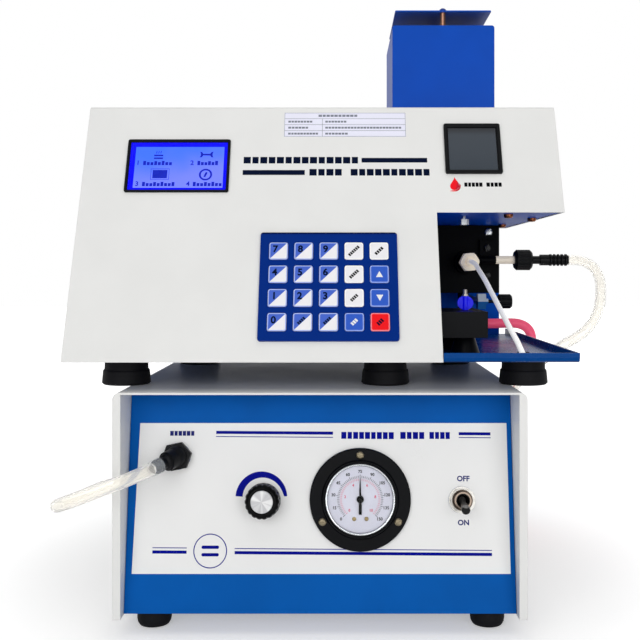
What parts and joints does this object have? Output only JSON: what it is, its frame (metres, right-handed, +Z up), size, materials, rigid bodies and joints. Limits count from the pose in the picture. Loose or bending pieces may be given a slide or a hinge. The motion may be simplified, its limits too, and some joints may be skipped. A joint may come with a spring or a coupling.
{
  "type": "flame photometer",
  "caption": "Bench flame photometer with a sloping front panel, open burner bay and capped chimney, standing on its air compressor unit and joined to it by a hose.",
  "frame": {"origin": "on the bench, under the centre of the box round the two housings and what is fixed to them, without the hoses and the connector on the air hose", "axes": "+Z up along the height, +X to the right seen from the front, the front panels face -Y"},
  "size_m": [0.4261, 0.3724, 0.4784],
  "materials": {
    "shell_paint": "fine textured off-white powder coat",
    "blue_paint": "semi-gloss blue powder coat",
    "white_paint": "matt white dial paint",
    "black_paint": "satin black",
    "black_plastic": "moulded black plastic",
    "black_rubber": "matt rubber",
    "bright_metal": "nickel plated",
    "cast_alloy": "grey painted casting",
    "copper_metal": "copper plated",
    "yellow_zinc": "yellow passivated zinc",
    "clear_glass": "clear",
    "dark_glass": "smoked",
    "display_blue": "blue backlit display",
    "keypad_blue": "navy keypad film",
    "key_white": "white keypad film",
    "key_blue": "mid blue keypad film",
    "key_red": "red keypad film",
    "ivory_plastic": "ivory moulding",
    "handle_blue": "bright blue moulding",
    "clear_hose": "milky translucent tube",
    "pink_hose": "pink-red tube",
    "board_green": "green circuit board"
  },
  "bodies": {
    "instrument": {"compressor_chassis": "blue_paint", "compressor_shell": "shell_paint", "compressor_feet": "black_rubber", "regulator": "bright_metal", "gauge_case": "black_paint", "gauge_dial": "white_paint", "gauge_glass": "clear_glass", "toggle_switch": "bright_metal", "air_outlet": "black_plastic", "air_pump": "cast_alloy", "base_tray": "blue_paint", "main_cover": "shell_paint", "rear_panel": "shell_paint", "bay_liner": "blue_paint", "photometer_feet": "black_rubber", "lcd_bezel": "black_plastic", "lcd_module": "display_blue", "keypad_overlay": "keypad_blue", "window_frame": "black_plastic", "window_glass": "dark_glass", "chimney": "blue_paint", "chimney_cap": "blue_paint", "cap_studs": "copper_metal", "burner_housing": "black_paint", "nebuliser": "ivory_plastic", "hose_connector": "black_plastic", "gas_block": "black_plastic", "needle_valve": "bright_metal", "screws": "yellow_zinc", "circuit_boards": "board_green", "optics_unit": "black_paint", "rear_fittings": "black_plastic", "air_hose": "clear_hose", "sample_tube": "clear_hose", "drain_hose": "pink_hose"},
    "regulator_knob": {"regulator_knob": "black_plastic"},
    "gauge_pointer": {"gauge_pointer": "black_paint"},
    "toggle_lever": {"toggle_lever": "bright_metal"},
    "tap_handle": {"tap_handle": "handle_blue"},
    "valve_knob": {"valve_knob": "black_plastic"},
    "key_7": {"key_7": "key_white"},
    "key_8": {"key_8": "key_white"},
    "key_9": {"key_9": "key_white"},
    "key_recall": {"key_recall": "key_white"},
    "key_read": {"key_read": "key_white"},
    "key_4": {"key_4": "key_white"},
    "key_5": {"key_5": "key_white"},
    "key_6": {"key_6": "key_white"},
    "key_menu": {"key_menu": "key_white"},
    "key_up": {"key_up": "key_blue"},
    "key_1": {"key_1": "key_white"},
    "key_2": {"key_2": "key_white"},
    "key_3": {"key_3": "key_white"},
    "key_det": {"key_det": "key_white"},
    "key_down": {"key_down": "key_blue"},
    "key_0": {"key_0": "key_white"},
    "key_del": {"key_del": "key_white"},
    "key_set": {"key_set": "key_white"},
    "key_print": {"key_print": "key_blue"},
    "key_reset": {"key_reset": "key_red"}
  },
  "joints": [
    {"name": "regulator_turn", "type": "hinge", "parent": "instrument", "child": "regulator_knob", "pos_m": [-0.0395, -0.13564, 0.08917], "axis": [0, -0.9863, 0.165], "range_deg": [-270, 540]},
    {"name": "pointer_turn", "type": "hinge", "parent": "instrument", "child": "gauge_pointer", "pos_m": [0.0275, -0.13551, 0.08996], "axis": [0, -0.9863, 0.165], "range_deg": [-135, 135]},
    {"name": "toggle_swing", "type": "hinge", "parent": "instrument", "child": "toggle_lever", "pos_m": [0.0981, -0.13756, 0.08979], "axis": [-1, 0, 0], "range_deg": [0, 32]},
    {"name": "gas_tap_turn", "type": "hinge", "parent": "instrument", "child": "tap_handle", "pos_m": [0.1074, -0.08205, 0.216], "axis": [0, 0, 1], "range_deg": [0, 90]},
    {"name": "fuel_valve_turn", "type": "hinge", "parent": "instrument", "child": "valve_knob", "pos_m": [0.162, 0.05695, 0.2215], "axis": [1, 0, 0], "range_deg": [-360, 720]},
    {"name": "key_7_press", "type": "slide", "parent": "instrument", "child": "key_7", "axis": [0, 0.9232, -0.3843], "range_m": [0, 0.0004], "stiffness_N_per_m": 400},
    {"name": "key_8_press", "type": "slide", "parent": "instrument", "child": "key_8", "axis": [0, 0.9232, -0.3843], "range_m": [0, 0.0004], "stiffness_N_per_m": 400},
    {"name": "key_9_press", "type": "slide", "parent": "instrument", "child": "key_9", "axis": [0, 0.9232, -0.3843], "range_m": [0, 0.0004], "stiffness_N_per_m": 400},
    {"name": "key_recall_press", "type": "slide", "parent": "instrument", "child": "key_recall", "axis": [0, 0.9232, -0.3843], "range_m": [0, 0.0004], "stiffness_N_per_m": 400},
    {"name": "key_read_press", "type": "slide", "parent": "instrument", "child": "key_read", "axis": [0, 0.9232, -0.3843], "range_m": [0, 0.0004], "stiffness_N_per_m": 400},
    {"name": "key_4_press", "type": "slide", "parent": "instrument", "child": "key_4", "axis": [0, 0.9232, -0.3843], "range_m": [0, 0.0004], "stiffness_N_per_m": 400},
    {"name": "key_5_press", "type": "slide", "parent": "instrument", "child": "key_5", "axis": [0, 0.9232, -0.3843], "range_m": [0, 0.0004], "stiffness_N_per_m": 400},
    {"name": "key_6_press", "type": "slide", "parent": "instrument", "child": "key_6", "axis": [0, 0.9232, -0.3843], "range_m": [0, 0.0004], "stiffness_N_per_m": 400},
    {"name": "key_menu_press", "type": "slide", "parent": "instrument", "child": "key_menu", "axis": [0, 0.9232, -0.3843], "range_m": [0, 0.0004], "stiffness_N_per_m": 400},
    {"name": "key_up_press", "type": "slide", "parent": "instrument", "child": "key_up", "axis": [0, 0.9232, -0.3843], "range_m": [0, 0.0004], "stiffness_N_per_m": 400},
    {"name": "key_1_press", "type": "slide", "parent": "instrument", "child": "key_1", "axis": [0, 0.9232, -0.3843], "range_m": [0, 0.0004], "stiffness_N_per_m": 400},
    {"name": "key_2_press", "type": "slide", "parent": "instrument", "child": "key_2", "axis": [0, 0.9232, -0.3843], "range_m": [0, 0.0004], "stiffness_N_per_m": 400},
    {"name": "key_3_press", "type": "slide", "parent": "instrument", "child": "key_3", "axis": [0, 0.9232, -0.3843], "range_m": [0, 0.0004], "stiffness_N_per_m": 400},
    {"name": "key_det_press", "type": "slide", "parent": "instrument", "child": "key_det", "axis": [0, 0.9232, -0.3843], "range_m": [0, 0.0004], "stiffness_N_per_m": 400},
    {"name": "key_down_press", "type": "slide", "parent": "instrument", "child": "key_down", "axis": [0, 0.9232, -0.3843], "range_m": [0, 0.0004], "stiffness_N_per_m": 400},
    {"name": "key_0_press", "type": "slide", "parent": "instrument", "child": "key_0", "axis": [0, 0.9232, -0.3843], "range_m": [0, 0.0004], "stiffness_N_per_m": 400},
    {"name": "key_del_press", "type": "slide", "parent": "instrument", "child": "key_del", "axis": [0, 0.9232, -0.3843], "range_m": [0, 0.0004], "stiffness_N_per_m": 400},
    {"name": "key_set_press", "type": "slide", "parent": "instrument", "child": "key_set", "axis": [0, 0.9232, -0.3843], "range_m": [0, 0.0004], "stiffness_N_per_m": 400},
    {"name": "key_print_press", "type": "slide", "parent": "instrument", "child": "key_print", "axis": [0, 0.9232, -0.3843], "range_m": [0, 0.0004], "stiffness_N_per_m": 400},
    {"name": "key_reset_press", "type": "slide", "parent": "instrument", "child": "key_reset", "axis": [0, 0.9232, -0.3843], "range_m": [0, 0.0004], "stiffness_N_per_m": 400}
  ]
}
